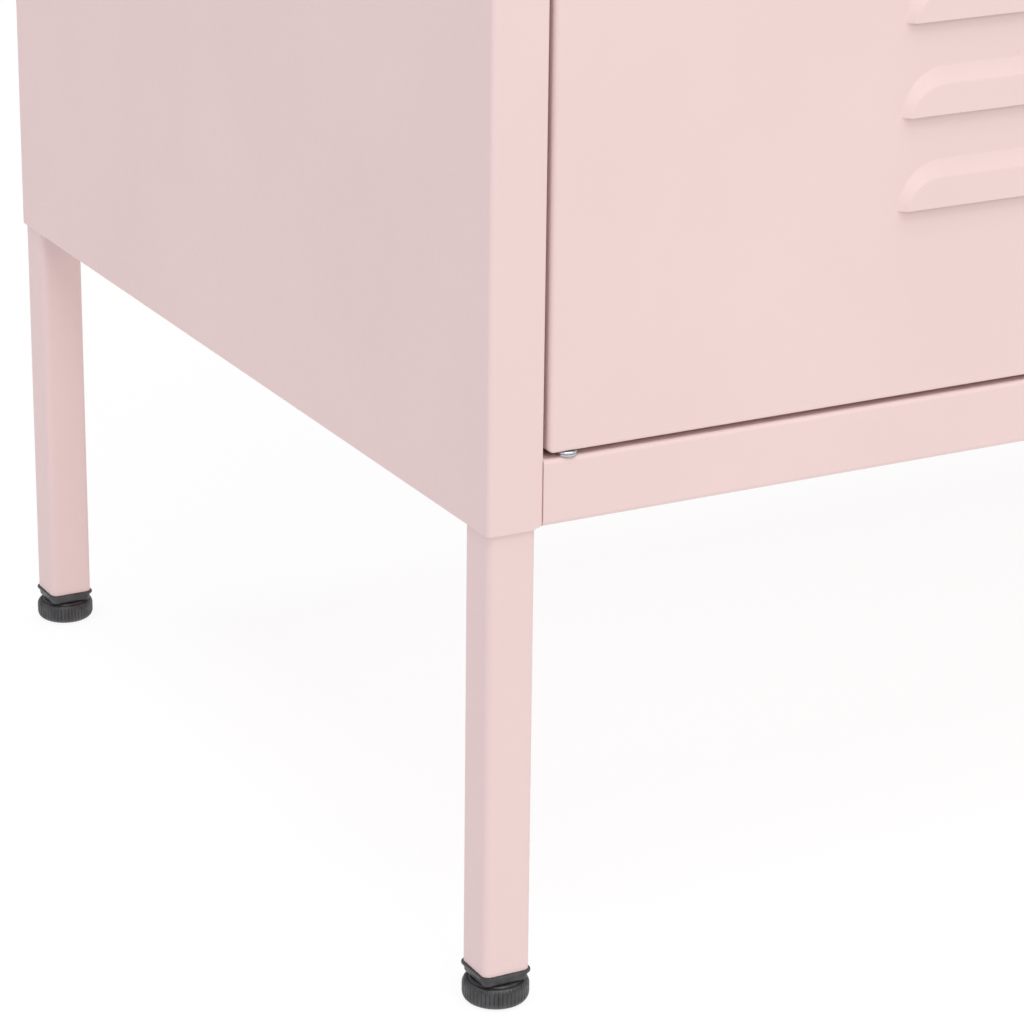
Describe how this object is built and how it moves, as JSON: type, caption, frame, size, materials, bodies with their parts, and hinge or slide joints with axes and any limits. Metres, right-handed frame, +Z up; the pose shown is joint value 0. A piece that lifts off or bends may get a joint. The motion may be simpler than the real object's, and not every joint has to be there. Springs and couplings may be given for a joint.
{
  "type": "locker cabinet",
  "caption": "Pink steel locker cabinet with louvred doors, cam locks with keys, inner shelves, and square tube legs on levelling feet.",
  "frame": {"origin": "on the floor, below the middle of the whole object's box", "axes": "+X to the right as seen from the front, +Y towards the back, +Z up; the doors face -Y"},
  "size_m": [0.803, 0.3794, 1.015],
  "materials": {
    "pink_coat": "satin powder coat with a fine orange peel",
    "black_plastic": "moulded, slightly rough",
    "zinc_steel": "bright zinc plate",
    "nickel": "nickel plate",
    "white_nylon": "moulded nylon",
    "grey_rubber": "matt"
  },
  "bodies": {
    "carcass": {"bottom_panel": "pink_coat", "top_panel": "pink_coat", "back_panel": "pink_coat", "centre_partition": "pink_coat", "strike_strip": "pink_coat", "door_bumpers": "grey_rubber", "pivot_washers": "zinc_steel", "side_panel_left": "pink_coat", "hinge_pin_lower_left": "zinc_steel", "hinge_pin_upper_left": "zinc_steel", "shelf_clips_left": "zinc_steel", "shelf_lower_left": "pink_coat", "shelf_upper_left": "pink_coat", "leg_front_left": "pink_coat", "foot_insert_front_left": "black_plastic", "leg_rear_left": "pink_coat", "foot_insert_rear_left": "black_plastic", "side_panel_right": "pink_coat", "hinge_pin_lower_right": "zinc_steel", "hinge_pin_upper_right": "zinc_steel", "shelf_clips_right": "zinc_steel", "shelf_lower_right": "pink_coat", "shelf_upper_right": "pink_coat", "leg_front_right": "pink_coat", "foot_insert_front_right": "black_plastic", "leg_rear_right": "pink_coat", "foot_insert_rear_right": "black_plastic"},
    "door_left": {"door_left": "pink_coat", "door_stiffener_left": "pink_coat", "pivot_bushes_left": "white_nylon", "lock_housing_left": "nickel", "lock_nut_left": "zinc_steel"},
    "lock_left": {"lock_plug_left": "nickel", "lock_cam_left": "zinc_steel", "cam_screw_left": "zinc_steel", "key_left": "nickel"},
    "foot_front_left": {"levelling_foot_front_left": "black_plastic"},
    "foot_rear_left": {"levelling_foot_rear_left": "black_plastic"},
    "door_right": {"door_right": "pink_coat", "door_stiffener_right": "pink_coat", "pivot_bushes_right": "white_nylon", "lock_housing_right": "nickel", "lock_nut_right": "zinc_steel"},
    "lock_right": {"lock_plug_right": "nickel", "lock_cam_right": "zinc_steel", "cam_screw_right": "zinc_steel", "key_right": "nickel"},
    "foot_front_right": {"levelling_foot_front_right": "black_plastic"},
    "foot_rear_right": {"levelling_foot_rear_right": "black_plastic"}
  },
  "joints": [
    {"name": "door_left_hinge", "type": "hinge", "parent": "carcass", "child": "door_left", "pos_m": [-0.3744, -0.15927, 0], "axis": [0, 0, -1], "range_deg": [0, 110]},
    {"name": "lock_left_turn", "type": "hinge", "parent": "door_left", "child": "lock_left", "pos_m": [-0.0308, -0.16187, 0.6], "axis": [0, -1, 0], "range_deg": [0, 90]},
    {"name": "foot_front_left_screw", "type": "slide", "parent": "carcass", "child": "foot_front_left", "axis": [0, 0, -1], "range_m": [0, 0.008]},
    {"name": "foot_rear_left_screw", "type": "slide", "parent": "carcass", "child": "foot_rear_left", "axis": [0, 0, -1], "range_m": [0, 0.008]},
    {"name": "door_right_hinge", "type": "hinge", "parent": "carcass", "child": "door_right", "pos_m": [0.3744, -0.15927, 0], "axis": [0, 0, 1], "range_deg": [0, 110]},
    {"name": "lock_right_turn", "type": "hinge", "parent": "door_right", "child": "lock_right", "pos_m": [0.0308, -0.16187, 0.6], "axis": [0, 1, 0], "range_deg": [0, 90]},
    {"name": "foot_front_right_screw", "type": "slide", "parent": "carcass", "child": "foot_front_right", "axis": [0, 0, -1], "range_m": [0, 0.008]},
    {"name": "foot_rear_right_screw", "type": "slide", "parent": "carcass", "child": "foot_rear_right", "axis": [0, 0, -1], "range_m": [0, 0.008]}
  ]
}
